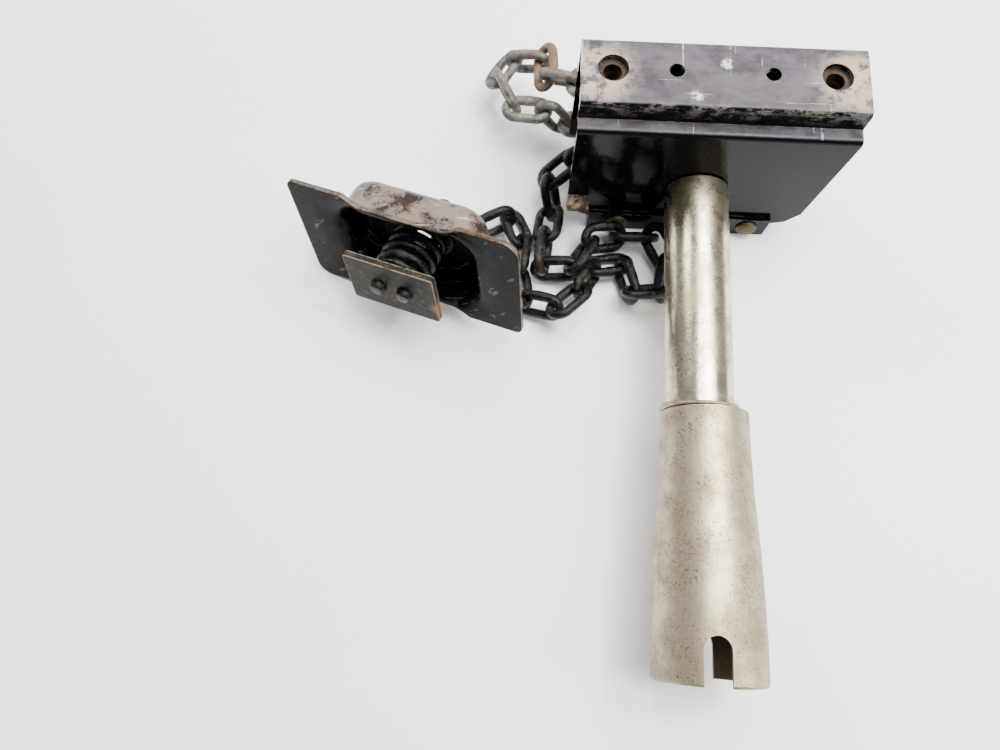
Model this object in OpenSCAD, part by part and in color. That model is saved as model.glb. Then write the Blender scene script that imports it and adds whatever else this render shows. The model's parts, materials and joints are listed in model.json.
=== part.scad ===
/* [Bracket] */
// Width of the pressed bracket across the vehicle, mm
bracket_width = 129; // [110:1:150]
// Thickness of the pressed bracket steel, mm
sheet = 3.2; // [2.5:0.1:4]
// Depth of the box between the outer faces of its two side plates, mm
box_depth = 42.8; // [36:0.1:50]
// Height of the mounting face above the drive axis, mm
face_height = 58; // [50:0.5:70]
// How far the front strip stands back from the mounting face, mm
step_height = 11; // [6:0.5:16]
// Distance of the side plate's back edge behind the drive axis, mm
back_depth = 37.5; // [34:0.5:44]

/* [Mounting holes] */
// Distance between the two large bolt holes, mm
bolt_spacing = 100; // [90:0.5:110]
// Diameter of the large bolt holes, mm
bolt_hole = 14; // [12:0.5:16]
// Distance between the two small locating holes, mm
pilot_spacing = 43; // [36:0.5:50]
// Diameter of the small locating holes, mm
pilot_hole = 7; // [5:0.5:9]
// Distance of the hole row from the front side plate, mm
hole_row = 26; // [22:0.5:30]
// Thread bore of the weld nuts, mm
nut_bore = 8.5; // [6.8:0.1:10.2]

/* [Drive tube] */
// Outside diameter of the plated drive tube, mm
tube_diameter = 31.8; // [28:0.1:36]
// Wall of the drive tube, mm
tube_wall = 2.3; // [1.6:0.1:3]
// Distance from the bracket to the top of the crank socket, mm
tube_length = 117.5; // [100:0.5:140]

/* [Crank socket] */
// Length of the flared crank socket, mm
socket_length = 117; // [100:0.5:140]
// Outside diameter of the socket's open end, mm
socket_end = 49.6; // [44:0.1:56]
// Width of the two crank slots, mm
slot_width = 11.5; // [8:0.5:14]
// Depth of the two crank slots, mm
slot_depth = 20; // [12:0.5:28]
// Turn of the slots about the axis at rest, degrees
slot_turn = -4.5; // [-45:0.5:45]

/* [Reduction gear] */
// Number of fixed ring pins
ring_pins_count = 12; // [10:1:16]
// Radius of the circle of ring pins, mm
ring_radius = 24; // [22:0.5:26]
// Radius of one ring pin, mm
ring_pin_radius = 2.2; // [1.8:0.1:2.6]
// Throw of the eccentric, mm
throw = 1.1; // [0.8:0.05:1.2]

/* [Chain] */
// Wire diameter of the lifting chain, mm
wire = 5; // [4:0.5:6]
// Inside length of one chain link, mm
link_pitch = 18.5; // [16:0.5:22]
// Outside width of one chain link, mm
link_width = 17; // [15:0.5:20]

/* [Lift plate] */
// Length of the wheel lift plate, mm
plate_length = 119; // [100:1:140]
// Width of the wheel lift plate, mm
plate_width = 69; // [60:1:90]
// Thickness of the lift plate steel, mm
plate_sheet = 2.6; // [2:0.1:4]
// Depth of the crown pressed into the plate, mm
crown_depth = 23; // [16:0.5:30]

/* [View] */
// Which sub-part to build

/* [Hidden] */
$fn = 48;
half_width = bracket_width / 2;
bend = 4.2;
tube_r = tube_diameter / 2;
shaft_r = 7;
axle_y = -hole_row;
axle_z = -face_height;
wheel_y = 20;
case_r = 31;
case_y = box_depth + 14;
pin_circle = 15.2;
out_pin_r = 2.5;
arc_r = (link_width - wire) / 2;
half_straight = (link_pitch + wire) / 2 - arc_r;
joint_gap = wire + 0.3;
flat_r = 20.58;
upright_r = 23.36;
tail_pin_at = [-41.9, 0, -31];

// Everything is laid out from the point where the drive axis meets the front side plate.
module on_axle() { translate([0, axle_y, axle_z]) children(); }
module along_y(y, h) { translate([0, y, 0]) rotate([-90, 0, 0]) linear_extrude(h) children(); }
module disc_y(y, h, r) { translate([0, y, 0]) rotate([-90, 0, 0]) cylinder(h = h, r = r); }
module ring_y(y, h, r1, r2) {
  difference() { disc_y(y, h, r1); disc_y(y - 1, h + 2, r2); }
}
module slab(x0, x1, y0, y1, z0, z1) { translate([x0, y0, z0]) cube([x1 - x0, y1 - y0, z1 - z0]); }
module round_rect(l, w, r) {
  square([l - 2 * r, w], center = true);
  square([l, w - 2 * r], center = true);
  for (x = [-1, 1], y = [-1, 1]) translate([x * (l / 2 - r), y * (w / 2 - r)]) circle(r);
}
// What a rounded outer corner takes off: corner at x, y, pointing the way of sx, sy.
module trim(x, y, r, sx, sy) {
  difference() {
    translate([sx < 0 ? x - 1 : x - r, sy < 0 ? y - 1 : y - r]) square(r + 1);
    translate([x - sx * r, y - sy * r]) circle(r);
  }
}

// The bent section of the bracket, o millimetres inside its outer faces.
module box_section(o, r_top, r_front) {
  difference() {
    union() {
      translate([o, -60]) square([box_depth - 2 * o, 60 + face_height - step_height - o]);
      translate([7 + o, -60]) square([box_depth - 7 - 2 * o, 60 + face_height - o]);
    }
    if (r_top > 0) {
      trim(box_depth - o, face_height - o, r_top, 1, 1);
      trim(7 + o, face_height - o, r_front, -1, 1);
      trim(o, face_height - step_height - o, r_front, -1, 1);
    }
  }
}
module side_outline(low, tab) {
  polygon([[-half_width, face_height + 2], [-half_width, low], [-half_width + 8, low - 9],
    [-52, low - 11], [-50, -tab], [46, -tab], [48, low - 11], [half_width - 10, low - 9],
    [half_width - 4, low], [half_width, 43], [half_width, face_height + 2]]);
}

// Pressed box bracket: mounting face on top, a stepped front strip and two side plates.
module bracket() {
  color([0.07, 0.07, 0.08]) on_axle() difference() {
    intersection() {
      rotate([90, 0, 90]) linear_extrude(bracket_width + 2, center = true) difference() {
        box_section(0, bend, 2.6);
        box_section(sheet, 1, 0.6);
      }
      union() {
        translate([0, box_depth / 2, 0]) rotate([90, 0, 0])
          linear_extrude(box_depth) side_outline(-20, back_depth);
        translate([0, box_depth + 1, 0]) rotate([90, 0, 0])
          linear_extrude(box_depth / 2 + 2) side_outline(-14, back_depth);
      }
    }
    for (s = [-1, 1]) {
      translate([s * bolt_spacing / 2, hole_row, face_height - sheet - 1])
        cylinder(h = sheet + 2, r = bolt_hole / 2);
      translate([s * pilot_spacing / 2, hole_row, face_height - sheet - 1])
        cylinder(h = sheet + 2, r = pilot_hole / 2);
    }
    disc_y(-1, sheet + 2, 10);
    disc_y(box_depth - sheet - 1, sheet + 2, 21);
    for (x = [-36, 35]) translate([x, 0, -32.5]) disc_y(-1, sheet + 2, 3);
    translate([35, 0, -32.5]) disc_y(box_depth - sheet - 1, sheet + 2, 3);
    translate(tail_pin_at) disc_y(box_depth - sheet - 1, sheet + 2, 3);
    // the chain's way out to the free end
    along_y(box_depth - sheet - 1, sheet + 2) translate([-48, -11.5]) round_rect(24.5, 28, 6);
    slab(-half_width - 1, -58.5, box_depth - sheet - 1, box_depth + 1, -60, -15.5);
    slab(-59, -52, box_depth - sheet - 1, box_depth + 1, -25.5, -15.5);
    for (a = [45:90:315]) rotate([0, a, 0]) translate([28, 0, 0]) disc_y(box_depth - sheet - 1, sheet + 2, 2);
  }
}

// Two hexagonal nuts welded inside the box behind the large holes.
module weld_nuts() {
  color([0.35, 0.33, 0.3]) on_axle() for (s = [-1, 1])
    translate([s * bolt_spacing / 2, hole_row, face_height - sheet - 9]) difference() {
      linear_extrude(9) polygon([for (a = [0:60:300]) [9.8 * cos(a), 9.8 * sin(a)]]);
      translate([0, 0, -1]) cylinder(h = 11, r = nut_bore / 2);
    }
}

// Back cover that closes the box behind the chain wheel, with a lip lapped over each side plate.
module back_cover() {
  color([0.06, 0.06, 0.07]) on_axle() difference() {
    union() {
      slab(-52, 46, -2.5, box_depth + 2.5, -back_depth - 2.5, -back_depth);
      for (y = [-2.5, box_depth]) slab(-52, 46, y, y + 2.5, -back_depth, -24.5);
    }
    for (x = [-36, 35]) translate([x, 0, -32.5]) disc_y(-3.5, 4.5, 3);
    translate([35, 0, -32.5]) disc_y(box_depth - 1, 4.5, 3);
    disc_y(box_depth, 3, 33.6);
    translate(tail_pin_at) disc_y(box_depth - 1, 4.5, 3);
  }
}

// Dome-headed rivets through the lips and the side plates.
module cover_rivets() {
  color([0.5, 0.43, 0.28]) on_axle() {
    for (x = [-36, 35]) translate([x, 0, -32.5]) {
      translate([0, -2.5, 0]) rotate([90, 0, 0]) rivet_head();
      disc_y(-2.5, sheet + 2.5, 3);
      disc_y(sheet, 1.6, 4.4);
    }
    translate([35, 0, -32.5]) {
      translate([0, box_depth + 2.5, 0]) rotate([-90, 0, 0]) rivet_head();
      disc_y(box_depth - sheet, sheet + 2.5, 3);
      disc_y(box_depth - sheet - 1.6, 1.6, 4.4);
    }
  }
}
module rivet_head() {
  intersection() {
    translate([0, 0, -4.2]) sphere(r = 7.6);
    cylinder(h = 4, r = 5.6);
  }
}

// Bent lug on the left edge of the front side plate that keeps the loaded chain clear.
module guide_tab() {
  color([0.1, 0.08, 0.07]) on_axle() {
    slab(-64.5, -53.5, -8, 0, -13, -10);
    slab(-64.5, -53.5, -2.4, 0, -20, -13);
  }
}

// Flanged bush that carries the drive shaft in the front side plate.
module front_bush() {
  color([0.6, 0.5, 0.3]) on_axle() { ring_y(-0.6, sheet + 0.6, 10, 7.05); ring_y(sheet, 1.4, 13, 7.05); }
}
// Wave spring that loads the brake.
module wave_spring() { color([0.5, 0.5, 0.52]) on_axle() ring_y(4.7, 1.2, 15, 9); }
// Friction disc against the chain wheel's front cheek.
module friction_disc() { color([0.35, 0.24, 0.16]) on_axle() ring_y(6.0, 1.9, 17, 7.3); }
// Bush that carries the chain wheel's hub in the rear side plate.
module rear_bush() { color([0.6, 0.5, 0.3]) on_axle() ring_y(box_depth - sheet - 1, sheet + 1, 21, 19.05); }

// Chain wheel: two cheeks, a rim for the flat links, a groove for the upright ones and its hub.
module chain_wheel() {
  color([0.4, 0.4, 0.42]) on_axle() rotate([-90, 0, 0]) rotate_extrude() polygon([[7.05, 8], [27.4, 8],
    [28, 8.6], [26.8, 9.8], [17.6, 10.4], [17.6, 15.6], [14, 16], [14, 24], [17.6, 24.4],
    [17.6, 29.6], [26.8, 30.2], [28, 31.4], [27.4, 32], [19, 32], [19, 43.4], [7.05, 43.4]]);
}
// Six drive pins that carry the reduction gear's slow turn to the chain wheel.
module output_pins() {
  color([0.6, 0.6, 0.62]) on_axle() for (a = [0:60:300]) rotate([0, a, 0])
    translate([pin_circle, 0, 0]) disc_y(43.4, 8.6, out_pin_r);
}
// Round gear case on the rear side plate, holding the ring pins.
module gear_case() {
  color([0.08, 0.08, 0.09]) on_axle() along_y(box_depth, 13.6) difference() {
    union() {
      circle(case_r);
      for (a = [45:90:315]) rotate(a) translate([28, 0]) circle(5);
    }
    circle(ring_radius);
    for (a = [45:90:315]) rotate(a) translate([28, 0]) circle(2);
    for (k = [0:ring_pins_count - 1]) rotate(k * 360 / ring_pins_count) translate([ring_radius, 0])
      circle(ring_pin_radius);
  }
}
// Hardened pins the cycloid disc rolls on.
module ring_pins() {
  color([0.62, 0.62, 0.64]) on_axle() for (k = [0:ring_pins_count - 1])
    rotate([0, k * 360 / ring_pins_count, 0]) translate([ring_radius, 0, 0])
      disc_y(box_depth + 0.2, 13.2, ring_pin_radius);
}
// Lobed disc: rolls round inside the ring pins, one lobe back for each turn of the shaft.
module cycloid_disc() {
  n = ring_pins_count;
  rr = ring_pin_radius + 0.12;
  function psi(t) = atan2(sin((1 - n) * t), ring_radius / (throw * n) - cos((1 - n) * t));
  function px(t) = ring_radius * cos(t) - rr * cos(t + psi(t)) - throw * cos(n * t);
  function py(t) = -ring_radius * sin(t) + rr * sin(t + psi(t)) + throw * sin(n * t);
  color([0.5, 0.5, 0.52]) on_axle() translate([throw, 0, 0]) difference() {
    along_y(box_depth + 4, 7) difference() {
      polygon([for (k = [0:219]) [px(k * 360 / 220), py(k * 360 / 220)]]);
      circle(10.03);
      for (a = [0:60:300]) rotate(a) translate([pin_circle, 0]) circle(out_pin_r + throw + 0.12);
    }
  }
}
// Bush between the eccentric and the disc.
module eccentric_bush() {
  color([0.6, 0.5, 0.3]) on_axle() translate([throw, 0, 0]) ring_y(box_depth + 4, 7, 10.03, 8.65);
}
// Cover of the gear case with a domed boss over the shaft's end.
module case_cover() {
  color([0.08, 0.08, 0.09]) on_axle() difference() {
    union() {
      disc_y(case_y, 3, case_r);
      disc_y(case_y + 3, 7, 13);
      for (a = [45:90:315]) rotate([0, a, 0]) translate([28, 0, 0]) disc_y(case_y, 3, 5);
    }
    disc_y(case_y - 1, 5.5, 9.5);
    disc_y(case_y + 4, 4.5, 11);
    for (a = [45:90:315]) rotate([0, a, 0]) translate([28, 0, 0]) disc_y(case_y - 1, 5, 2);
  }
}
module cover_bush() { color([0.6, 0.5, 0.3]) on_axle() ring_y(case_y, 4.5, 9.5, 7.05); }
// Hexagon screws through the cover, the case and the rear side plate.
module case_screws() {
  color([0.55, 0.53, 0.5]) on_axle() for (a = [45:90:315]) rotate([0, a, 0]) translate([28, 0, 0]) {
    along_y(case_y + 3, 3) polygon([for (b = [0:60:300]) [4 * cos(b), 4 * sin(b)]]);
    disc_y(box_depth - sheet, case_y + 3 - box_depth + sheet, 1.98);
  }
}
// Input shaft with the eccentric that works the disc.
module drive_shaft() {
  color([0.45, 0.45, 0.47]) on_axle() {
    disc_y(-18, 16.6, tube_r - tube_wall - 0.05);
    disc_y(-1.4, case_y + 8, shaft_r);
    translate([throw, 0, 0]) disc_y(box_depth + 4, 7, 8.6);
  }
}
module shaft_clip() { color([0.4, 0.4, 0.4]) on_axle() ring_y(case_y + 4.6, 1.2, 9, shaft_r); }

module drive_tube() {
  color([0.66, 0.67, 0.6]) on_axle() ring_y(-tube_length - 10, tube_length + 9.2, tube_r, tube_r - tube_wall);
}
module weld_bead() {
  color([0.5, 0.48, 0.42]) on_axle() rotate([90, 0, 0]) rotate_extrude()
    polygon([[tube_r, tube_length - 3.2], [tube_r + 1.2, tube_length - 2.4], [18.6, tube_length], [tube_r, tube_length]]);
}
// Flared socket for the wheel brace, with two opposite slots in its open end.
module crank_socket() {
  e = socket_end / 2;
  l = socket_length;
  color([0.58, 0.57, 0.5]) on_axle() difference() {
    translate([1.9, -tube_length, 0]) rotate([90, 0, 0]) rotate_extrude()
      polygon([[20.2, 0], [20.6, 20], [21.3, 36], [22.3, 50], [23.4, 64], [e - 0.5, 84], [e, 100], [e, l - 1],
        [e - 0.6, l], [e - 2.6, l], [e - 2.6, 84], [21, 64], [19.4, 44], [18.6, 30], [18.2, 20], [18.2, 0]]);
    translate([1.9, -tube_length - l, 0]) rotate([0, slot_turn, 0]) {
      slab(-slot_width / 2, slot_width / 2, -1, slot_depth - slot_width / 2, -40, 40);
      translate([0, slot_depth - slot_width / 2, -40]) cylinder(h = 80, r = slot_width / 2);
    }
  }
}
// Curved strip that peels the chain off the wheel and steers the free end to its opening.
module chain_stripper() {
  color([0.12, 0.12, 0.13]) on_axle() {
    slab(33.5, 36, sheet, box_depth - sheet, -26, 26);
    slab(30, 33.5, sheet, box_depth - sheet, 26, 28.5);
    slab(30, 33.5, sheet, box_depth - sheet, -28.5, -26);
  }
}

// One link of round wire, lying in XY with its long axis on X.
module link() {
  for (s = [0, 180]) rotate(s) {
    translate([half_straight, 0, 0]) rotate(-90) rotate_extrude(angle = 180) translate([arc_r, 0]) circle(wire / 2);
    translate([-half_straight, arc_r, 0]) rotate([0, 90, 0]) cylinder(h = 2 * half_straight, r = wire / 2);
  }
}
// A link's lie is [heading, rise, roll] in degrees. Each link hangs in the end of the one before it.
function ahead(a) = [cos(a[1]) * cos(a[0]), cos(a[1]) * sin(a[0]), sin(a[1])];
function side(a) = cos(a[2]) * [-sin(a[0]), cos(a[0]), 0]
  + sin(a[2]) * [-sin(a[1]) * cos(a[0]), -sin(a[1]) * sin(a[0]), cos(a[1])];
function face(a) = cross(ahead(a), side(a));
function unit(v) = v / norm(v);
function pull(a, b) = let (c = unit(cross(face(a), face(b)))) c * (ahead(a) + ahead(b)) < 0 ? -c : c;
function step(a, b) = half_straight * ahead(a) + (2 * arc_r - joint_gap) * pull(a, b) + half_straight * ahead(b);
function spot(lie, first, i) = i == 0 ? first : spot(lie, first, i - 1) + step(lie[i - 1], lie[i]);
module set_link(at, a) { translate(at) rotate([0, 0, a[0]]) rotate([0, -a[1], 0]) rotate([a[2], 0, 0]) link(); }
module run(lie, first, from, to) { for (i = [from:to]) set_link(spot(lie, first, i), lie[i]); }

wheel_top = [180, 0, 0];
// Lie of the free end of the chain, from the wheel through the opening and back to its pin.
tail_lie = [wheel_top, [171, 5, 93], [165, -11, -8], [120, -18, 71], [132, -18, -25],
  [148, -28, 63], [93, 1, -50], [164, -22, 86], [241, 2, 34], [302, -12, 104], [-8, 7, -5],
  [-3, -54, 95], [7, 3, -3], [-8, -77, 83]];
// Lie of the loaded chain, from under the wheel over the floor to the lift plate.
load_lie = [wheel_top, [174, 2, 99], [180, 13, 11], [179, 15, 103], [-148, -29, 17],
  [-66, -53, -50], [-95, 16, 28], [-95, 3, -69], [0, 10, 67], [61, -9, -58], [20, -21, 38],
  [2, -2, -65], [-62, -2, 40], [-98, -3, -61], [-170, 8, 54], [107, -3, -72], [-168, 4, 30],
  [-120, 21, -66], [-135, 4, 35], [165, -15, -62], [100, -6, 46], [86, -6, -55], [114, -6, 34],
  [-153, -7, -68], [-163, 38, 27], [-172, 71, -48]];
tail_from = [0, wheel_y, flat_r];
load_from = [0, wheel_y, -flat_r];

// The five links that lie round the chain wheel.
module wheel_chain() {
  color([0.1, 0.09, 0.08]) on_axle() for (k = [0:4])
    translate([0, wheel_y, 0]) rotate([0, 45 * k, 0])
      translate([0, 0, k % 2 == 0 ? flat_r : upright_r]) rotate([k % 2 * 90, 0, 0]) link();
}
module tail_chain_upper() { color([0.5, 0.47, 0.42]) on_axle() run(tail_lie, tail_from, 1, 5); }
module rusty_link() { color([0.52, 0.36, 0.25]) on_axle() run(tail_lie, tail_from, 6, 6); }
module tail_chain_lower() { color([0.5, 0.47, 0.42]) on_axle() run(tail_lie, tail_from, 7, 13); }
// Shouldered pin that holds the last link of the free end.
module tail_pin() {
  color([0.3, 0.28, 0.26]) on_axle() translate(tail_pin_at) {
    disc_y(box_depth - sheet - 2, sheet + 16.5, 3);
    disc_y(box_depth - sheet - 2, 2, 5);
    disc_y(box_depth + 14.5, 2, 6);
  }
}
module load_chain_a() { color([0.06, 0.055, 0.05]) on_axle() run(load_lie, load_from, 1, 6); }
module load_chain_b() { color([0.06, 0.055, 0.05]) on_axle() run(load_lie, load_from, 7, 12); }
module load_chain_c() { color([0.06, 0.055, 0.05]) on_axle() run(load_lie, load_from, 13, 17); }
module load_chain_d() { color([0.06, 0.055, 0.05]) on_axle() run(load_lie, load_from, 18, 20); }
module load_chain_e() { color([0.06, 0.055, 0.05]) on_axle() run(load_lie, load_from, 21, 22); }
module load_chain_f() { color([0.06, 0.055, 0.05]) on_axle() run(load_lie, load_from, 23, 24); }
module load_chain_g() { color([0.06, 0.055, 0.05]) on_axle() run(load_lie, load_from, 25, 25); }

// Local frame of the lift plate: X along it, Z out of its hollow side towards the keeper.
module at_plate() {
  translate([-142.8, -47.05, 1]) rotate([0, 0, -19.8]) rotate([-11.6, 0, 0]) rotate([90, 0, 0])
    rotate([0, 0, 7.7]) children();
}
seat_z = 18.6 - 3.4;
staple_z = -crown_depth - 3;
// U-shaped stem: the chain hangs in its bend and its legs are headed over on the keeper.
module stem_staple() {
  color([0.16, 0.13, 0.1]) on_axle() at_plate() {
    translate([0, 0, staple_z]) rotate([90, 0, 0]) rotate(180) rotate_extrude(angle = 180)
      translate([7, 0]) circle(2.75);
    for (x = [-7, 7]) translate([x, 0, staple_z]) {
      cylinder(h = 18.6 + 1 - staple_z, r = 2.75);
      translate([0, 0, 18.6 - staple_z]) cylinder(h = 3.4, r1 = 4.2, r2 = 3.2);
    }
  }
}
// Small rectangular plate that the spring and the stem pull against.
module keeper_plate() {
  color([0.12, 0.1, 0.09]) on_axle() at_plate() difference() {
    translate([0, 0, seat_z]) linear_extrude(3.4) round_rect(47.4, 32.8, 1.5);
    for (x = [-7, 7]) translate([x, 0, seat_z - 1]) cylinder(h = 6, r = 2.75);
  }
}
// Washer between the spring and the crown, which lets the plate turn on its stem.
module spring_seat() {
  color([0.2, 0.18, 0.16]) on_axle() at_plate() translate([0, 0, plate_sheet - crown_depth + 0.05])
    difference() { cylinder(h = 2, r = 16); translate([0, 0, -1]) cylinder(h = 4, r = 10.6); }
}
// Coil spring that presses the plate away from the keeper: half turns, level and rising by turns.
spring_turns = 5;
module lift_spring() {
  low = plate_sheet - crown_depth + 2.05 + 2.2;
  p = (seat_z - 2.2 - low) / spring_turns;
  ro = 12.3;
  tilt = atan(p / (2 * ro));
  color([0.05, 0.05, 0.05]) on_axle() at_plate() for (k = [0:spring_turns - 1]) translate([0, 0, low + k * p]) {
    rotate_extrude(angle = 180) translate([ro, 0]) circle(1.9);
    translate([0, 0, p / 2]) rotate([0, -tilt, 0]) rotate(180) rotate_extrude(angle = 180)
      translate([norm([ro, p / 2]), 0]) circle(1.9);
    translate([-ro, 0, 0]) sphere(r = 2.15);
    if (k < spring_turns - 1) translate([ro, 0, p]) sphere(r = 2.15);
  }
}
// Pressed plate that goes through the wheel's centre hole and lifts it: a waisted brim and a crown.
module lift_plate() {
  l = plate_length;
  w = plate_width;
  color([0.11, 0.1, 0.09]) on_axle() at_plate() difference() {
    union() {
      translate([0, 0, -plate_sheet]) linear_extrude(plate_sheet) difference() {
        union() {
          square([l, w - 20], center = true);
          square([l - 20, w], center = true);
          for (q = [[-1, 1, 3], [1, 1, 9], [1, -1, 4], [-1, -1, 7]]) {
            translate([q[0] * (l / 2 - q[2]), q[1] * (w / 2 - q[2])]) circle(q[2]);
            translate([q[0] * (l / 2 - (10.1 + q[2]) / 2), q[1] * (w / 2 - 5.05)])
              square([10.1 - q[2], 10.1], center = true);
            translate([q[0] * (l / 2 - 5.05), q[1] * (w / 2 - (10.1 + q[2]) / 2)])
              square([10.1, 10.1 - q[2]], center = true);
          }
        }
        for (s = [-1, 1]) translate([0, s * (w / 2 + 6)]) {
          square([38, 24], center = true);
          for (t = [-1, 1]) translate([t * 19, 0]) circle(12);
        }
      }
      translate([0, 0, -crown_depth]) linear_extrude(crown_depth) round_rect(74, w - 12, 15);
    }
    translate([0, 0, plate_sheet - crown_depth]) linear_extrude(crown_depth + 1)
      round_rect(74 - 2 * plate_sheet, w - 12 - 2 * plate_sheet, 15 - plate_sheet);
    translate([0, 0, -crown_depth - 1]) cylinder(h = 5, r = 12);
  }
}

bracket();
weld_nuts();
back_cover();
cover_rivets();
guide_tab();
front_bush();
wave_spring();
friction_disc();
rear_bush();
chain_wheel();
output_pins();
gear_case();
ring_pins();
cycloid_disc();
eccentric_bush();
case_cover();
cover_bush();
case_screws();
drive_shaft();
shaft_clip();
drive_tube();
weld_bead();
crank_socket();
chain_stripper();
wheel_chain();
tail_chain_upper();
rusty_link();
tail_chain_lower();
tail_pin();
load_chain_a();
load_chain_b();
load_chain_c();
load_chain_d();
load_chain_e();
load_chain_f();
load_chain_g();
stem_staple();
keeper_plate();
spring_seat();
lift_spring();
lift_plate();
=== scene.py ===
import json
import math

import bmesh
import bpy
import numpy as np
from mathutils import Matrix, Vector, noise


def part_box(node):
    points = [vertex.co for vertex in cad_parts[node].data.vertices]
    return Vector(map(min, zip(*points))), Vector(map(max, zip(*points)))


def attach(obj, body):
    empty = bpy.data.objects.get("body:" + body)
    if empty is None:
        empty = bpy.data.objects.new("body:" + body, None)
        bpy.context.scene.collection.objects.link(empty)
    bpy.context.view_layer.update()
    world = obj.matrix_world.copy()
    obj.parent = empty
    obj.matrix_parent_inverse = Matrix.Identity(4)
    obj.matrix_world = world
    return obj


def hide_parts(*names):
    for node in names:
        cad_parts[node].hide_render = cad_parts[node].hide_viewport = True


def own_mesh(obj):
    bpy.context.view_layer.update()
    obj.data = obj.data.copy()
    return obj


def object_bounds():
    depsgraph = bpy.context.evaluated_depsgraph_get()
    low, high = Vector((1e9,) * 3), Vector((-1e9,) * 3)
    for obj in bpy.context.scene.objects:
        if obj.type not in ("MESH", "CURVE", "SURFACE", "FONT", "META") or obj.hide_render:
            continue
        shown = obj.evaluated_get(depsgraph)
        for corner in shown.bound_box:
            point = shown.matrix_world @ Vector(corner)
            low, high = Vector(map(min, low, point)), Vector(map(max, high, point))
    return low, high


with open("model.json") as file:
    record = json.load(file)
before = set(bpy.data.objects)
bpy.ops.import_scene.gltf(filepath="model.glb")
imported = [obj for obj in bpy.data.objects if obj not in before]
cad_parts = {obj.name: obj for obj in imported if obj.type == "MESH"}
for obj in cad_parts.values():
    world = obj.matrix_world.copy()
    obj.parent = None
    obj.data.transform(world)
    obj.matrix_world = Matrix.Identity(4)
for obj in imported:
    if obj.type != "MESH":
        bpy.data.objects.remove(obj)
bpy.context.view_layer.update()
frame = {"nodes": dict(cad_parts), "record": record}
cadNodes = frame["nodes"]
print("frame loaded:", len(cadNodes), "nodes")

view = {
    "place": (-0.08612, -0.23084, 0.29262),
    "right": (0.99845, 0.05519, -0.00723),
    "up": (-0.05099, 0.95894, 0.27898),
    "ahead": (-0.02233, 0.27818, -0.96027),
    "lens": 27.65,
}


def addCamera():
    data = bpy.data.cameras.new("viewCamera")
    data.lens = view["lens"]
    data.sensor_width = 36
    data.clip_start = 0.01
    camera = bpy.data.objects.new("viewCamera", data)
    bpy.context.scene.collection.objects.link(camera)
    axes = [Vector(view["right"]), Vector(view["up"]), -Vector(view["ahead"])]
    turn = Matrix(axes).transposed().to_4x4()
    camera.matrix_world = Matrix.Translation(view["place"]) @ turn
    bpy.context.scene.camera = camera


studio = {
    "worldColor": (1.0, 1.0, 1.0),
    "worldStrength": 0.34,
    # name, place, aims at, size, watts
    "lamps": [
        ("topSoftbox", (0.22, 0.12, 0.95), (0.0, -0.1, -0.05), (0.8, 0.8), 34.0),
        ("rightStrip", (0.7, -0.25, 0.45), (0.0, -0.15, -0.05), (0.12, 0.9), 6.0),
        ("backLeft", (-0.55, 0.45, 0.45), (-0.12, -0.06, -0.05), (0.3, 0.3), 5.0),
        ("keySpark", (0.22, -0.02, 0.7), (0.0, -0.1, -0.05), (0.06, 0.06), 2.5),
    ],
}


def addStudio():
    world = bpy.data.worlds.new("studioWorld")
    world.use_nodes = True
    back = world.node_tree.nodes["Background"]
    back.inputs["Color"].default_value = (*studio["worldColor"], 1)
    back.inputs["Strength"].default_value = studio["worldStrength"]
    bpy.context.scene.world = world
    for name, place, aim, size, watts in studio["lamps"]:
        data = bpy.data.lights.new(name, "AREA")
        data.shape = "RECTANGLE"
        data.size, data.size_y = size
        data.energy = watts
        lamp = bpy.data.objects.new(name, data)
        bpy.context.scene.collection.objects.link(lamp)
        lamp.location = place
        lamp.rotation_euler = (Vector(aim) - Vector(place)).to_track_quat("-Z", "Y").to_euler()


addCamera()
addStudio()
print("camera and light set")


def startMaterial(name, metallic=0.0, roughness=0.5, coat=0.0):
    mat = bpy.data.materials.new(name)
    mat.use_nodes = True
    tree = mat.node_tree
    shader = tree.nodes["Principled BSDF"]
    shader.inputs["Metallic"].default_value = metallic
    shader.inputs["Roughness"].default_value = roughness
    shader.inputs["Coat Weight"].default_value = coat
    shader.inputs["Coat Roughness"].default_value = 0.08
    coords = tree.nodes.new("ShaderNodeTexCoord").outputs["Object"]
    return mat, tree, shader, coords


def addNode(tree, kind, inputs, **settings):
    made = tree.nodes.new("ShaderNode" + kind)
    for key, value in settings.items():
        setattr(made, key, value)
    for key, value in inputs.items():
        if isinstance(value, bpy.types.NodeSocket):
            tree.links.new(value, made.inputs[key])
        else:
            made.inputs[key].default_value = value
    return made


def grain(tree, coords, scale, detail=5.0, rough=0.6, stretch=None, turn=0.0):
    if stretch:
        placing = {"Vector": coords, "Scale": stretch, "Rotation": (0, 0, turn)}
        coords = addNode(tree, "Mapping", placing).outputs[0]
    made = addNode(tree, "TexNoise", {"Vector": coords, "Scale": scale, "Detail": detail, "Roughness": rough})
    return made.outputs["Fac"]


def specks(tree, coords, scale, low, high):
    made = addNode(tree, "TexVoronoi", {"Vector": coords, "Scale": scale, "Randomness": 1.0})
    return fade(tree, made.outputs["Distance"], high, low)


def fade(tree, value, low, high):
    made = addNode(tree, "MapRange", {0: value, 1: low, 2: high, 3: 0.0, 4: 1.0},
                   interpolation_type="SMOOTHSTEP")
    return made.outputs[0]


def calc(tree, operation, a, b=0.0):
    return addNode(tree, "Math", {0: a, 1: b}, operation=operation).outputs[0]


def blendColor(tree, factor, a, b):
    fixed = [(*c, 1.0) if isinstance(c, tuple) else c for c in (a, b)]
    made = addNode(tree, "Mix", {0: factor, 6: fixed[0], 7: fixed[1]}, data_type="RGBA")
    return made.outputs[2]


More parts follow.
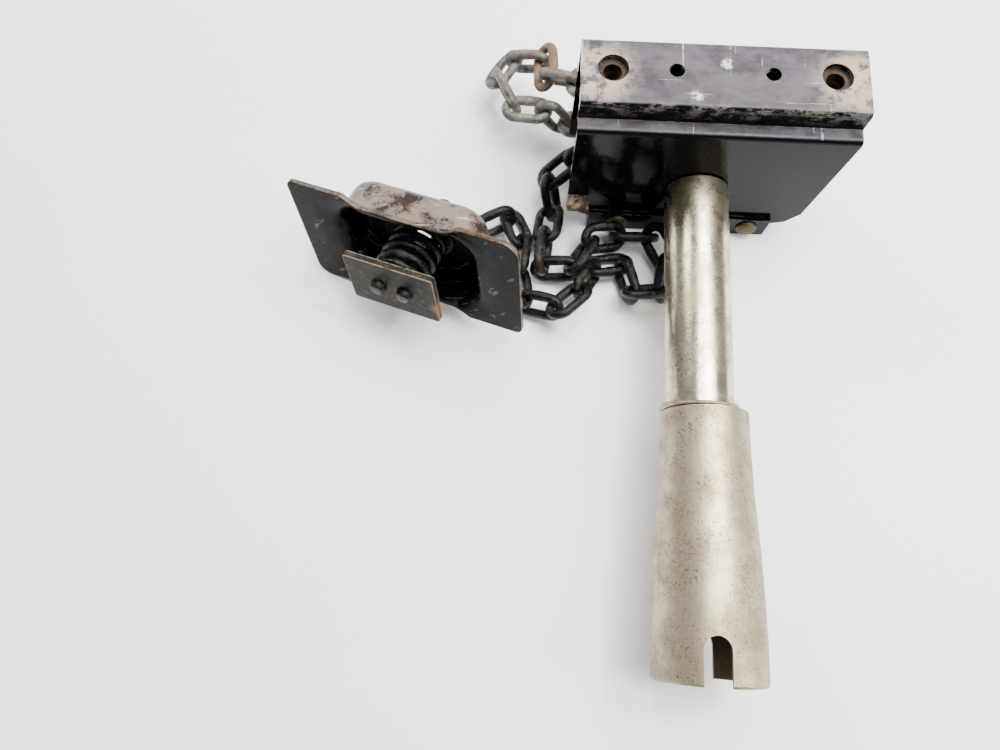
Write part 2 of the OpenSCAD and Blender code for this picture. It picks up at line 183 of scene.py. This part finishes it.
def blendValue(tree, factor, a, b):
    return addNode(tree, "Mix", {0: factor, 2: a, 3: b}, data_type="FLOAT").outputs[0]


def nearPoint(tree, coords, point, inner, outer):
    gap = addNode(tree, "VectorMath", {0: coords, 1: point}, operation="DISTANCE").outputs["Value"]
    return fade(tree, gap, outer, inner)


def edgeWear(tree, radius, low=0.02, high=0.25):
    rounded = addNode(tree, "Bevel", {"Radius": radius}, samples=6).outputs[0]
    flat = tree.nodes.new("ShaderNodeNewGeometry").outputs["Normal"]
    dot = addNode(tree, "VectorMath", {0: rounded, 1: flat}, operation="DOT_PRODUCT").outputs["Value"]
    return fade(tree, calc(tree, "SUBTRACT", 1.0, dot), low, high)


def addBump(tree, shader, height, strength, distance):
    made = addNode(tree, "Bump", {"Height": height, "Strength": strength, "Distance": distance})
    tree.links.new(made.outputs[0], shader.inputs["Normal"])


def wire(tree, value, shader, name):
    tree.links.new(value, shader.inputs[name])


def facingUp(tree, low, high):
    normal = tree.nodes.new("ShaderNodeNewGeometry").outputs["Normal"]
    return fade(tree, addNode(tree, "SeparateXYZ", {0: normal}).outputs[2], low, high)


def blackGlossPaint():
    mat, tree, shader, coords = startMaterial("blackGlossPaint", roughness=0.2)
    shader.inputs["Specular IOR Level"].default_value = 0.09
    height = addNode(tree, "SeparateXYZ", {0: coords}).outputs[2]
    top = calc(tree, "MULTIPLY", facingUp(tree, 0.75, 0.96), fade(tree, height, -0.016, -0.009))
    broad = grain(tree, coords, 46, 8, 0.72)
    fine = grain(tree, coords, 330, 6, 0.75)
    # the upward-facing top is painted grey: partly rubbed paint, partly a painted sheen standing in for the
    # overhead light it reflects, with islands of sound black paint
    rubAndSheenPatches = fade(tree, broad, 0.38, 0.56)
    sound = fade(tree, grain(tree, coords, 75, 8, 0.78, (0.55, 1.3, 1.0)), 0.36, 0.6)
    sheen = calc(tree, "ADD", calc(tree, "MULTIPLY", rubAndSheenPatches, 0.3), 0.6)
    wearAndSheen = calc(tree, "MULTIPLY", top, calc(tree, "MULTIPLY", sheen, blendValue(tree, sound, 0.6, 1.0)))
    # painted sheen mixed with real rubbing: this lilac grey on the top stands in for reflected overhead light
    # as well as worn paint
    color = blendColor(tree, wearAndSheen, (0.002, 0.002, 0.003), (0.115, 0.103, 0.115))
    # tan and rusty rubbed ends round the large holes
    ends = calc(tree, "MAXIMUM", nearPoint(tree, coords, (-0.058, -0.003, 0), 0.004, 0.024),
                nearPoint(tree, coords, (0.058, -0.003, 0), 0.004, 0.024))
    patchy = fade(tree, grain(tree, coords, 95, 8, 0.75), 0.42, 0.54)
    rubbed = calc(tree, "MULTIPLY", calc(tree, "MULTIPLY", ends, patchy), top)
    color = blendColor(tree, calc(tree, "MULTIPLY", rubbed, 0.85), color, (0.47, 0.385, 0.31))
    rust = calc(tree, "MULTIPLY", rubbed, fade(tree, grain(tree, coords, 170, 5, 0.7), 0.5, 0.58))
    color = blendColor(tree, rust, color, (0.36, 0.24, 0.14))
    # chipped paint along the bends at the top
    bends = calc(tree, "MULTIPLY", fade(tree, height, -0.012, -0.001),
                 calc(tree, "SUBTRACT", 1.0, facingUp(tree, 0.86, 0.99)))
    chips = fade(tree, grain(tree, coords, 190, 7, 0.8, (0.5, 1.0, 1.0)), 0.5, 0.57)
    color = blendColor(tree, calc(tree, "MULTIPLY", calc(tree, "MULTIPLY", bends, chips), 0.3),
                       color, (0.3, 0.27, 0.24))
    # a few long scratches and two pale scraped spots
    scratchA = fade(tree, grain(tree, coords, 34, 2, 0.4, (0.4, 22.0, 1.0), 0.2), 0.69, 0.71)
    scratchB = fade(tree, grain(tree, coords, 30, 2, 0.4, (20.0, 0.6, 1.0), -0.3), 0.7, 0.72)
    scratch = calc(tree, "MULTIPLY", calc(tree, "MAXIMUM", scratchA, scratchB), fade(tree, fine, 0.4, 0.55))
    color = blendColor(tree, calc(tree, "MULTIPLY", calc(tree, "MULTIPLY", scratch, top), 0.7),
                       color, (0.5, 0.46, 0.46))
    blobs = calc(tree, "MAXIMUM", nearPoint(tree, coords, (0.0008, 0.0045, 0), 0.0014, 0.0036),
                 nearPoint(tree, coords, (-0.0125, -0.0128, 0), 0.0006, 0.004))
    blobs = calc(tree, "MULTIPLY", blobs, fade(tree, fine, 0.44, 0.52))
    color = blendColor(tree, calc(tree, "MULTIPLY", blobs, top), color, (0.7, 0.66, 0.65))
    edge = calc(tree, "MULTIPLY", edgeWear(tree, 0.0007),
                fade(tree, grain(tree, coords, 120, 5, 0.7), 0.46, 0.6))
    color = blendColor(tree, calc(tree, "MULTIPLY", edge, 0.6), color, (0.3, 0.25, 0.2))
    wire(tree, color, shader, "Base Color")
    rough = blendValue(tree, wearAndSheen, 0.1, 0.4)
    wire(tree, blendValue(tree, fade(tree, fine, 0.5, 0.8), rough, 0.45), shader, "Roughness")
    relief = calc(tree, "ADD", calc(tree, "MULTIPLY", grain(tree, coords, 60, 3, 0.5), 0.5),
                  calc(tree, "MULTIPLY", calc(tree, "MULTIPLY", fine, wearAndSheen), 0.6))
    addBump(tree, shader, relief, 0.14, 0.0006)
    return mat


def zincPlate():
    mat, tree, shader, coords = startMaterial("zincPlate", metallic=1.0, roughness=0.24)
    cloud = fade(tree, grain(tree, coords, 55, 8, 0.75), 0.38, 0.6)
    fine = grain(tree, coords, 620, 5, 0.75)
    color = blendColor(tree, cloud, (0.42, 0.37, 0.24), (0.68, 0.63, 0.48))
    # dark pin holes gathered in clouds
    where = fade(tree, grain(tree, coords, 48, 4, 0.6), 0.42, 0.58)
    pins = calc(tree, "MULTIPLY", fade(tree, grain(tree, coords, 900, 3, 0.6), 0.56, 0.63), where)
    color = blendColor(tree, calc(tree, "MULTIPLY", pins, 0.85), color, (0.12, 0.1, 0.07))
    dirt = calc(tree, "MULTIPLY", fade(tree, grain(tree, coords, 170, 8, 0.8), 0.52, 0.66), 0.55)
    color = blendColor(tree, dirt, color, (0.28, 0.25, 0.17))
    wire(tree, color, shader, "Base Color")
    wire(tree, blendValue(tree, cloud, 0.36, 0.2), shader, "Roughness")
    addBump(tree, shader, calc(tree, "ADD", fine, grain(tree, coords, 200, 4)), 0.12, 0.0004)
    return mat


def dullSocketPlate():
    mat, tree, shader, coords = startMaterial("dullSocketPlate", metallic=0.8, roughness=0.45)
    cloud = fade(tree, grain(tree, coords, 48, 8, 0.75), 0.38, 0.62)
    fine = grain(tree, coords, 700, 6, 0.8)
    color = blendColor(tree, cloud, (0.26, 0.215, 0.14), (0.42, 0.36, 0.25))
    streak = fade(tree, grain(tree, coords, 130, 6, 0.75, (1.0, 0.25, 1.0)), 0.5, 0.66)
    color = blendColor(tree, calc(tree, "MULTIPLY", streak, 0.45), color, (0.24, 0.2, 0.14))
    pins = calc(tree, "MULTIPLY", fade(tree, grain(tree, coords, 950, 3, 0.6), 0.55, 0.62),
                fade(tree, grain(tree, coords, 70, 4), 0.4, 0.56))
    color = blendColor(tree, calc(tree, "MULTIPLY", pins, 0.8), color, (0.11, 0.085, 0.055))
    color = blendColor(tree, calc(tree, "MULTIPLY", edgeWear(tree, 0.0008), 0.5), color, (0.62, 0.58, 0.48))
    # the brown inside of the flared end
    height = addNode(tree, "SeparateXYZ", {0: coords}).outputs
    fromAxis = {0: calc(tree, "SUBTRACT", height[0], 0.0019), 2: calc(tree, "ADD", height[2], 0.058)}
    out = addNode(tree, "CombineXYZ", fromAxis).outputs[0]
    normal = tree.nodes.new("ShaderNodeNewGeometry").outputs["Normal"]
    inward = addNode(tree, "VectorMath", {0: out, 1: normal}, operation="DOT_PRODUCT").outputs["Value"]
    color = blendColor(tree, calc(tree, "MULTIPLY", fade(tree, inward, -0.002, -0.01), 0.8),
                       color, (0.09, 0.065, 0.045))
    wire(tree, color, shader, "Base Color")
    wire(tree, blendValue(tree, cloud, 0.52, 0.36), shader, "Roughness")
    addBump(tree, shader, calc(tree, "ADD", fine, grain(tree, coords, 120, 5, 0.6)), 0.22, 0.0005)
    return mat


def greasyBlack(name, rough=0.12, brown=0.1):
    mat, tree, shader, coords = startMaterial(name, metallic=0.0, roughness=rough)
    shader.inputs["Specular IOR Level"].default_value = 0.2
    lump = grain(tree, coords, 260, 7, 0.7)
    dust = calc(tree, "MULTIPLY", fade(tree, grain(tree, coords, 110, 6, 0.75), 0.52, 0.64), brown)
    color = blendColor(tree, dust, (0.0015, 0.0015, 0.0015), (0.2, 0.16, 0.11))
    wire(tree, color, shader, "Base Color")
    wire(tree, blendValue(tree, fade(tree, lump, 0.45, 0.7), rough, 0.4), shader, "Roughness")
    addBump(tree, shader, lump, 0.8, 0.0011)
    return mat


def pittedSteel(name, light, dark, rust, amount):
    mat, tree, shader, coords = startMaterial(name, metallic=0.45, roughness=0.55)
    cloud = fade(tree, grain(tree, coords, 150, 6, 0.7), 0.34, 0.66)
    color = blendColor(tree, cloud, dark, light)
    pits = specks(tree, coords, 700, 0.1, 0.32)
    color = blendColor(tree, calc(tree, "MULTIPLY", pits, 0.6), color, (0.05, 0.04, 0.035))
    patch = calc(tree, "MULTIPLY", fade(tree, grain(tree, coords, 120, 5, 0.65), 0.42, 0.62), amount)
    color = blendColor(tree, patch, color, rust)
    wire(tree, color, shader, "Base Color")
    wire(tree, blendValue(tree, patch, 0.5, 0.75), shader, "Roughness")
    addBump(tree, shader, calc(tree, "ADD", grain(tree, coords, 420, 5, 0.7), cloud), 0.5, 0.0006)
    return mat


def scuffedPlate(name, paint, bare, amount, rust=0.2, shine=0.3):
    mat, tree, shader, coords = startMaterial(name, metallic=0.0, roughness=0.35)
    shader.inputs["Specular IOR Level"].default_value = shine
    broad = fade(tree, grain(tree, coords, 60, 8, 0.75), 0.64 - 0.26 * amount, 0.74 - 0.24 * amount)
    color = blendColor(tree, broad, paint, bare)
    lines = fade(tree, grain(tree, coords, 60, 4, 0.6, (1.0, 9.0, 2.0), 0.7), 0.62, 0.67)
    color = blendColor(tree, calc(tree, "MULTIPLY", lines, amount * 0.6), color, (0.5, 0.45, 0.4))
    patch = calc(tree, "MULTIPLY", fade(tree, grain(tree, coords, 85, 5, 0.7), 0.5, 0.66), rust)
    color = blendColor(tree, patch, color, (0.3, 0.15, 0.07))
    wire(tree, color, shader, "Base Color")
    wire(tree, blendValue(tree, broad, 0.22, 0.5), shader, "Roughness")
    addBump(tree, shader, grain(tree, coords, 240, 6, 0.7), 0.3, 0.0006)
    return mat


def machined(name, color, rough=0.35, metallic=1.0):
    mat, tree, shader, coords = startMaterial(name, metallic=metallic, roughness=rough)
    fine = grain(tree, coords, 420, 4, 0.6)
    dark = tuple(c * 0.55 for c in color)
    cloud = fade(tree, grain(tree, coords, 90, 5), 0.36, 0.66)
    wire(tree, blendColor(tree, cloud, dark, color), shader, "Base Color")
    wire(tree, blendValue(tree, fine, rough * 0.8, rough * 1.35), shader, "Roughness")
    addBump(tree, shader, fine, 0.15, 0.0003)
    return mat


materials = {
    "black_paint": blackGlossPaint(),
    "zinc_plate": zincPlate(),
    "dull_socket": dullSocketPlate(),
    "bare_steel": machined("bareSteel", (0.55, 0.54, 0.52)),
    "greased_chain": greasyBlack("greasedChain"),
    "dusty_chain": pittedSteel("dustyChain", (0.24, 0.225, 0.195), (0.055, 0.05, 0.045),
                               (0.14, 0.09, 0.055), 0.3),
    "rust": pittedSteel("rustyChain", (0.26, 0.2, 0.15), (0.09, 0.06, 0.04), (0.22, 0.11, 0.05), 0.85),
    "rivet": machined("dullRivet", (0.15, 0.12, 0.075), 0.5),
    "bronze": machined("sinteredBronze", (0.5, 0.36, 0.2), 0.5),
    "friction": machined("frictionLining", (0.2, 0.14, 0.1), 0.85, 0.0),
    "plate_steel": scuffedPlate("plateInside", (0.003, 0.003, 0.003), (0.02, 0.016, 0.013), 0.3, 0.03, 0.05),
}
plateOutside = scuffedPlate("plateOutside", (0.024, 0.018, 0.015), (0.16, 0.125, 0.103), 0.8, 0.22)
nutBrown = machined("nutBrown", (0.06, 0.044, 0.032), 0.55)
tabWear = scuffedPlate("tabWear", (0.03, 0.02, 0.015), (0.2, 0.14, 0.085), 0.7, 0.4)
plateRim = scuffedPlate("plateRim", (0.03, 0.023, 0.017), (0.12, 0.09, 0.068), 0.7, 0.25)
print("materials made")


recordSlots = {p["node"]: p["material_slot"] for p in frame["record"]["subparts"]}
bodyOf = {n: b for b, members in frame["record"]["behaviour"]["bodies"].items() for n in members}


def addPiece(name, bm, body, slot, *replaced, mats=None, smoothAngle=35):
    mesh = bpy.data.meshes.new(name)
    bm.to_mesh(mesh)
    bm.free()
    piece = bpy.data.objects.new(name, mesh)
    bpy.context.scene.collection.objects.link(piece)
    for mat in mats or [materials[slot]]:
        mesh.materials.append(mat)
    mesh.shade_smooth()
    mesh.set_sharp_from_angle(angle=math.radians(smoothAngle))
    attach(piece, body)
    if replaced:
        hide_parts(*replaced)
    return piece


def cadCopy(node):
    bm = bmesh.new()
    bm.from_mesh(cadNodes[node].data)
    bmesh.ops.remove_doubles(bm, verts=bm.verts, dist=0.000002)
    return bm


def roundEdges(piece, width, segments=2, angle=35):
    made = piece.modifiers.new("edges", "BEVEL")
    made.width = width
    made.segments = segments
    made.limit_method = "ANGLE"
    made.angle_limit = math.radians(angle)
    made.harden_normals = False
    return made


def islands(bm):
    seen = set()
    for start in bm.verts:
        if start in seen:
            continue
        group, stack = [], [start]
        seen.add(start)
        while stack:
            vert = stack.pop()
            group.append(vert)
            for edge in vert.link_edges:
                other = edge.other_vert(vert)
                if other not in seen:
                    seen.add(other)
                    stack.append(other)
        yield group


linkShape = {
    "wire": 0.0025, "arc": 0.006, "straight": 0.00575,
    "around": 14, "steps": 36, "seam": 1.13, "pit": 0.00013,
}


def linkPlaces(node):
    # centre, long way and flat way of every link, from the weight of the CAD solids
    places = []
    bm = cadCopy(node)
    for group in islands(bm):
        faces = {f for v in group for f in v.link_faces}
        mids = np.array([f.calc_center_median() for f in faces])
        areas = np.array([f.calc_area() for f in faces])
        centre = (mids * areas[:, None]).sum(0) / areas.sum()
        spread = mids - centre
        axes = np.linalg.eigh((spread * areas[:, None]).T @ spread)[1]
        flat, along = Vector(axes[:, 0]), Vector(axes[:, 2])
        turn = Matrix((along.cross(flat), along, flat)).transposed().to_4x4()
        places.append(Matrix.Translation(Vector(centre)) @ turn)
    bm.free()
    return places


def addLink(bm, place, seed):
    s = linkShape
    start = Matrix.Translation((s["arc"], 0, 0)) @ Matrix.Rotation(math.pi / 2, 4, "X")
    ring = bmesh.ops.create_circle(bm, segments=s["around"], radius=s["wire"], matrix=start)["verts"]
    edges = list({e for v in ring for e in v.link_edges})
    before = set(bm.verts) - set(ring)
    bmesh.ops.spin(bm, geom=ring + edges, axis=(0, 0, 1), cent=(0, 0, 0), steps=s["steps"],
                   angle=2 * math.pi, use_merge=True)
    verts = [v for v in bm.verts if v not in before]
    for v in verts:
        if abs(v.co.y) < 0.0001 and v.co.x < 0:
            middle = Vector((-s["arc"], 0, 0))
            v.co = middle + (v.co - middle) * s["seam"]
        elif abs(v.co.y) > 0.0001:
            v.co.y += math.copysign(s["straight"], v.co.y)
    bmesh.ops.recalc_face_normals(bm, faces=list({f for v in verts for f in v.link_faces}))
    for v in verts:
        lump = noise.noise(v.co * 300 + Vector((seed * 3.1, seed * 1.7, 0)))
        v.co += v.normal * lump * s["pit"]
    bmesh.ops.transform(bm, matrix=place, verts=verts)


chains = {
    "wheelChain": "wheel_chain",
    "tailChainUpper": "tail_chain_upper",
    "rustyLink": "rusty_link",
    "tailChainLower": "tail_chain_lower",
    "loadChainA": "load_chain_a",
    "loadChainB": "load_chain_b",
    "loadChainC": "load_chain_c",
    "loadChainD": "load_chain_d",
    "loadChainE": "load_chain_e",
    "loadChainF": "load_chain_f",
    "loadChainG": "load_chain_g",
}
for pieceName, node in chains.items():
    bm = bmesh.new()
    for count, place in enumerate(linkPlaces(node)):
        addLink(bm, place, count + len(pieceName))
    addPiece(pieceName, bm, bodyOf[node], recordSlots[node], node, smoothAngle=70)
print("chains made")

plateTurn = (
    Matrix.Rotation(math.radians(-19.8), 4, "Z")
    @ Matrix.Rotation(math.radians(-11.6), 4, "X")
    @ Matrix.Rotation(math.radians(90), 4, "X")
    @ Matrix.Rotation(math.radians(7.7), 4, "Z")
)
platePlace = Matrix.Translation((-0.1428, -0.07305, -0.057)) @ plateTurn
plate = {
    "length": 0.119, "width": 0.069, "sheet": 0.0026, "depth": 0.023,
    "crown": (0.037, 0.0279, 0.015), "hole": 0.012,
    "corners": {(-1, 1): 0.003, (1, 1): 0.009, (1, -1): 0.004, (-1, -1): 0.007},
    "waistRun": 0.019, "waistRound": 0.0116, "around": 432,
}


def insideBrim(x, y):
    p = plate
    hx, hy = p["length"] / 2, p["width"] / 2
    if abs(x) > hx or abs(y) > hy:
        return False
    r = p["corners"][(1 if x > 0 else -1, 1 if y > 0 else -1)]
    cx, cy = abs(x) - (hx - r), abs(y) - (hy - r)
    if cx > 0 and cy > 0 and cx * cx + cy * cy > r * r:
        return False
    wx, wy = max(abs(x) - p["waistRun"], 0), abs(y) - (hy + 0.006)
    return wx * wx + wy * wy > p["waistRound"] ** 2


def insideCrown(x, y, inset):
    hx, hy, r = plate["crown"]
    hx, hy, r = hx - inset, hy - inset, r - inset
    cx, cy = max(abs(x) - (hx - r), 0), max(abs(y) - (hy - r), 0)
    return cx * cx + cy * cy < r * r


def reach(test, angle):
    farthest = 0.09
    c, s = math.cos(angle), math.sin(angle)
    t = 0.001
    while test(t * c, t * s) and t < farthest:
        t += 0.0005
    low, high = t - 0.0005, t
    for _ in range(14):
        t = (low + high) / 2
        low, high = (t, high) if test(t * c, t * s) else (low, t)
    return low


def buildLiftPlate():
    p = plate
    half = p["sheet"] / 2
    # how far inside the crown's middle surface each ring runs, and how deep
    profile = [(0.0062, -0.0), (0.0036, 0.0003), (0.0018, 0.0011), (0.0006, 0.0026), (0.0, 0.0048),
               (0.0, 0.009), (0.0, 0.014), (-0.0003, 0.0163), (-0.0011, 0.0182), (-0.0024, 0.0196),
               (-0.0042, 0.0204)]
    bottom = -p["depth"] + half
    angles = [2 * math.pi * k / p["around"] for k in range(p["around"])]
    brim = [reach(insideBrim, a) for a in angles]
    rings = [[(p["hole"], bottom) for _ in angles]]
    rings.append([(p["hole"] + 0.004, bottom) for _ in angles])
    for step, (inset, rise) in enumerate(profile):
        wall = [reach(lambda x, y: insideCrown(x, y, half + inset), a) for a in angles]
        spare = (len(profile) - step) * 0.00006 + 0.0016
        rings.append([(min(w, b - spare), bottom + rise) for w, b in zip(wall, brim)])
    rings.append([(max((w[0] + b) / 2, w[0]), -half) for w, b in zip(rings[-1], brim)])
    rings.append([(b - 0.0007, -half) for b in brim])
    rings.append([(b, -half) for b in brim])
    bm = bmesh.new()
    start = bmesh.ops.create_circle(bm, segments=p["around"], radius=p["hole"])["verts"]
    edges = list({e for v in start for e in v.link_edges})
    for ring in rings:
        if ring is not rings[0]:
            made = bmesh.ops.extrude_edge_only(bm, edges=edges)["geom"]
            start = [g for g in made if isinstance(g, bmesh.types.BMVert)]
            fresh = set(start)
            edges = [g for g in made
                     if isinstance(g, bmesh.types.BMEdge) and all(v in fresh for v in g.verts)]
        for v in start:
            a = math.atan2(v.co.y, v.co.x) % (2 * math.pi)
            r, z = ring[round(a / (2 * math.pi) * p["around"]) % p["around"]]
            v.co = (r * math.cos(a), r * math.sin(a), z)
    bmesh.ops.recalc_face_normals(bm, faces=bm.faces)
    if sum(f.normal.z for f in bm.faces) < 0:
        bmesh.ops.reverse_faces(bm, faces=bm.faces)
    bmesh.ops.transform(bm, matrix=platePlace, verts=bm.verts)
    piece = addPiece("liftPlate", bm, "plate", "plate_steel", "lift_plate",
                     mats=[materials["plate_steel"], plateOutside, plateRim], smoothAngle=60)
    sheet = piece.modifiers.new("sheet", "SOLIDIFY")
    sheet.thickness = p["sheet"]
    sheet.offset = 0.0
    sheet.material_offset = 1
    sheet.material_offset_rim = 2


buildLiftPlate()
print("lift plate made")

spring = {
    "radius": 0.0123, "wire": 0.002, "low": -0.01645, "high": 0.0133,
    "turns": 5.5, "steps": 264, "start": 2.4,
}


def buildSpring():
    s = spring
    bm = bmesh.new()
    rise = s["high"] - s["low"]
    start = Matrix.Translation((s["radius"], 0, 0)) @ Matrix.Rotation(math.pi / 2, 4, "X")
    ring = bmesh.ops.create_circle(bm, segments=16, radius=s["wire"], cap_ends=True, matrix=start)["verts"]
    edges = list({e for v in ring for e in v.link_edges})
    geom = ring + edges + list({f for v in ring for f in v.link_faces})
    bmesh.ops.spin(bm, geom=geom, axis=(0, 0, 1), cent=(0, 0, 0), steps=s["steps"],
                   angle=2 * math.pi * s["turns"], dvec=(0, 0, rise / s["steps"]))
    for v in bm.verts:
        # the end turns lie nearly flat
        t = min(max(v.co.z / rise, 0.0), 1.0)
        flat = 0.14
        if t < flat:
            eased = t * t / (2 * flat)
        elif t < 1 - flat:
            eased = t - flat / 2
        else:
            eased = 1 - flat - (1 - t) ** 2 / (2 * flat)
        v.co.z += s["low"] + rise * (eased / (1 - flat) - t)
    bmesh.ops.remove_doubles(bm, verts=bm.verts, dist=0.000001)
    bmesh.ops.recalc_face_normals(bm, faces=bm.faces)
    bmesh.ops.transform(bm, matrix=platePlace @ Matrix.Rotation(s["start"], 4, "Z"), verts=bm.verts)
    piece = addPiece("liftSpring", bm, "spring", "greased_chain", "lift_spring", smoothAngle=60)
    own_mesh(piece)


buildSpring()


def keeperPaint():
    mat, tree, shader, coords = startMaterial("keeperPaint", roughness=0.4)
    shader.inputs["Specular IOR Level"].default_value = 0.1
    lump = grain(tree, coords, 300, 7, 0.75)
    color = blendColor(tree, fade(tree, lump, 0.45, 0.7), (0.007, 0.006, 0.005), (0.06, 0.045, 0.03))
    rim = calc(tree, "MULTIPLY", edgeWear(tree, 0.0011, 0.01, 0.12),
               fade(tree, grain(tree, coords, 240, 6, 0.75), 0.38, 0.5))
    color = blendColor(tree, calc(tree, "MULTIPLY", rim, 0.8), color, (0.42, 0.32, 0.22))
    # rust along the end next to the chain
    end = calc(tree, "MULTIPLY", nearPoint(tree, coords, (-0.122, -0.099, -0.056), 0.003, 0.01),
               fade(tree, lump, 0.4, 0.55))
    color = blendColor(tree, end, color, (0.28, 0.12, 0.045))
    wire(tree, color, shader, "Base Color")
    wire(tree, blendValue(tree, lump, 0.3, 0.6), shader, "Roughness")
    addBump(tree, shader, lump, 0.6, 0.0007)
    return mat


keeperEdge = keeperPaint()


def buildKeeper():
    bm = cadCopy("keeper_plate")
    bmesh.ops.dissolve_limit(bm, angle_limit=0.02, verts=bm.verts, edges=bm.edges)
    piece = addPiece("keeperPlate", bm, "stem", "plate_steel", "keeper_plate", mats=[keeperEdge])
    roundEdges(piece, 0.0006, 3)


def buildStem():
    bm = cadCopy("stem_staple")
    bmesh.ops.subdivide_edges(bm, edges=[e for e in bm.edges if e.calc_length() > 0.003], cuts=2)
    for v in bm.verts:
        v.co += v.normal * noise.noise(v.co * 260) * 0.00035
    addPiece("stemStaple", bm, "stem", "greased_chain", "stem_staple", smoothAngle=60)


buildKeeper()
buildStem()
print("spring, keeper and stem made")

def buildWeld():
    low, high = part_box("weld_bead")
    mid = (low + high) / 2
    ringRadius = (high.x - low.x) / 2 - 0.0012
    weld = {"steps": 150, "thick": 0.0011}
    bm = bmesh.new()
    start = Matrix.Translation((ringRadius, 0, 0))
    ring = bmesh.ops.create_circle(bm, segments=14, radius=weld["thick"], matrix=start)["verts"]
    bmesh.ops.rotate(bm, verts=ring, cent=(ringRadius, 0, 0), matrix=Matrix.Rotation(math.pi / 2, 3, "X"))
    edges = list({e for v in ring for e in v.link_edges})
    bmesh.ops.spin(bm, geom=ring + edges, axis=(0, 0, 1), cent=(0, 0, 0), steps=weld["steps"],
                   angle=2 * math.pi, use_merge=True)
    for v in bm.verts:
        angle = math.atan2(v.co.y, v.co.x)
        middle = Vector((math.cos(angle), math.sin(angle), 0)) * ringRadius
        sideways = abs(math.cos(angle)) ** 3
        swell = 0.8 + 0.25 * noise.noise(Vector((angle * 5, 1.3, 0)))
        v.co = middle + (v.co - middle) * swell
        # the bead is a little taller at its two sides
        v.co.z *= 1 + 2.4 * sideways if v.co.z < 0 else 1
    bmesh.ops.recalc_face_normals(bm, faces=bm.faces)
    onTube = Matrix.Translation(mid) @ Matrix.Rotation(math.pi / 2, 4, "X")
    bmesh.ops.transform(bm, matrix=onTube, verts=bm.verts)
    addPiece("socketWeld", bm, "drive", "dull_socket", "weld_bead", smoothAngle=60)


def buildThreads():
    thread = {"bore": 0.00428, "crest": 0.0038, "pitch": 0.0014, "from": -0.0165, "turns": 6}
    bm = bmesh.new()
    for side in (-0.05, 0.05):
        p = thread
        corners = [bm.verts.new((side + r, 0, p["from"] + z)) for r, z in
                   ((p["bore"], 0), (p["crest"], p["pitch"] * 0.35),
                    (p["crest"], p["pitch"] * 0.5), (p["bore"], p["pitch"] * 0.85))]
        edges = [bm.edges.new(pair) for pair in zip(corners, corners[1:] + corners[:1])]
        faces = [bm.faces.new(corners)]
        bmesh.ops.spin(bm, geom=corners + edges + faces, axis=(0, 0, 1), cent=(side, 0, 0),
                       steps=32 * p["turns"], angle=2 * math.pi * p["turns"], dvec=(0, 0, p["pitch"] / 32))
    bmesh.ops.recalc_face_normals(bm, faces=bm.faces)
    addPiece("nutThreads", bm, "housing", "bare_steel", mats=[nutBrown], smoothAngle=30)


buildWeld()
buildThreads()
print("weld and threads made")

remade = list(chains.values()) + ["lift_plate", "lift_spring", "keeper_plate", "stem_staple", "weld_bead"]
shown = [n for n in cadNodes if n not in remade]
ownMaterials = {"weld_nuts": nutBrown, "guide_tab": tabWear}
for node in shown:
    slots = cadNodes[node].data.materials
    slots.clear()
    slots.append(ownMaterials.get(node, materials[recordSlots[node]]))
print("CAD nodes finished:", len(shown))


def addFloor():
    mat, tree, shader, coords = startMaterial("paleFloor", roughness=0.9)
    tone = grain(tree, coords, 6, 3)
    wire(tree, blendColor(tree, tone, (0.96, 0.96, 0.96), (0.99, 0.99, 0.99)), shader, "Base Color")
    bm = bmesh.new()
    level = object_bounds()[0][2] - 0.0005
    bmesh.ops.create_grid(bm, x_segments=2, y_segments=2, size=4.0, matrix=Matrix.Translation((0, 0, level)))
    mesh = bpy.data.meshes.new("studioFloor")
    bm.to_mesh(mesh)
    bm.free()
    floor = bpy.data.objects.new("studioFloor", mesh)
    bpy.context.scene.collection.objects.link(floor)
    mesh.materials.append(mat)


addFloor()
